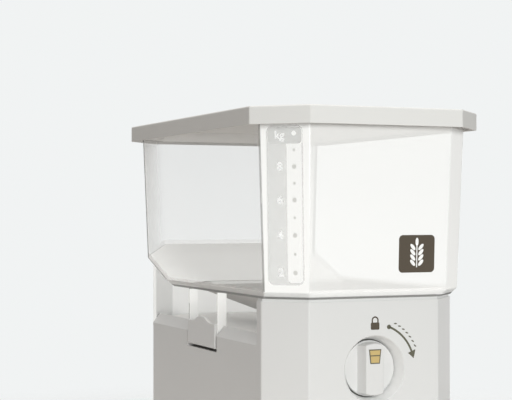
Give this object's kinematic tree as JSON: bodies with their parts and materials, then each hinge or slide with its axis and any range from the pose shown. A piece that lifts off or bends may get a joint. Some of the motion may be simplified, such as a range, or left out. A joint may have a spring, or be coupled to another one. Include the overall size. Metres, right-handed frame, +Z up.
{
  "type": "rice storage bin",
  "caption": "Clear octagonal hopper with a lift-off lid on a white stand, where a front dial turns a metering drum that drops measured rice into a pull-out tray.",
  "frame": {"origin": "floor level, under the middle of the lid", "axes": "+Z up, -Y towards the front with the dial and the tray, +X to the right seen from the front"},
  "size_m": [0.236, 0.412, 0.3722],
  "materials": {
    "lid_plastic": "moulded, light grey, fine satin",
    "clear_plastic": "moulded, clear with a milky tint, glossy",
    "scale_print": "printed plate, white and grey",
    "stand_plastic": "moulded, white, fine satin",
    "knob_plastic": "moulded, white, satin",
    "inner_plastic": "moulded, pale grey",
    "funnel_plastic": "moulded, pale grey",
    "tray_plastic": "moulded, white, glossy",
    "bush_plastic": "self-lubricating, ivory",
    "silicone": "soft, translucent white",
    "foot_rubber": "matt, dark grey",
    "steel": "bright zinc plated"
  },
  "bodies": {
    "stand": {"base_shell": "stand_plastic", "front_panel": "stand_plastic", "deck": "inner_plastic", "bottom_plate": "inner_plastic", "feet": "foot_rubber", "base_screws": "steel", "tray_runners": "bush_plastic", "drum_housing": "inner_plastic", "housing_cap": "inner_plastic", "housing_screws": "steel", "cap_screws": "steel", "front_bush": "bush_plastic", "rear_bush": "bush_plastic", "outlet_seal": "silicone", "outlet_funnel": "funnel_plastic", "hopper": "clear_plastic", "scale_panel": "scale_print", "latch_pin_right": "steel", "latch_pin_left": "steel"},
    "lid": {"lid_shell": "lid_plastic", "lid_gasket": "silicone", "pack_holder": "lid_plastic"},
    "dial": {"dial_knob": "knob_plastic", "drive_shaft": "steel", "metering_drum": "inner_plastic", "shaft_clip": "steel"},
    "tray": {"rice_tray": "tray_plastic", "tray_front": "stand_plastic"},
    "right_latch": {"latch_right": "knob_plastic"},
    "left_latch": {"latch_left": "knob_plastic"}
  },
  "joints": [
    {"name": "lid_lift", "type": "slide", "parent": "stand", "child": "lid", "axis": [0, 0, 1], "range_m": [0, 0.15]},
    {"name": "dial_turn", "type": "hinge", "parent": "stand", "child": "dial", "pos_m": [0, -0.1, 0.135], "axis": [0, 1, 0], "range_deg": [0, 180]},
    {"name": "tray_slide", "type": "slide", "parent": "stand", "child": "tray", "axis": [0, -1, 0], "range_m": [0, 0.16]},
    {"name": "right_latch_swing", "type": "hinge", "parent": "stand", "child": "right_latch", "pos_m": [0.0955, 0, 0.147], "axis": [0, 1, 0], "range_deg": [0, 60]},
    {"name": "left_latch_swing", "type": "hinge", "parent": "stand", "child": "left_latch", "pos_m": [-0.0955, 0, 0.147], "axis": [0, -1, 0], "range_deg": [0, 60]}
  ]
}
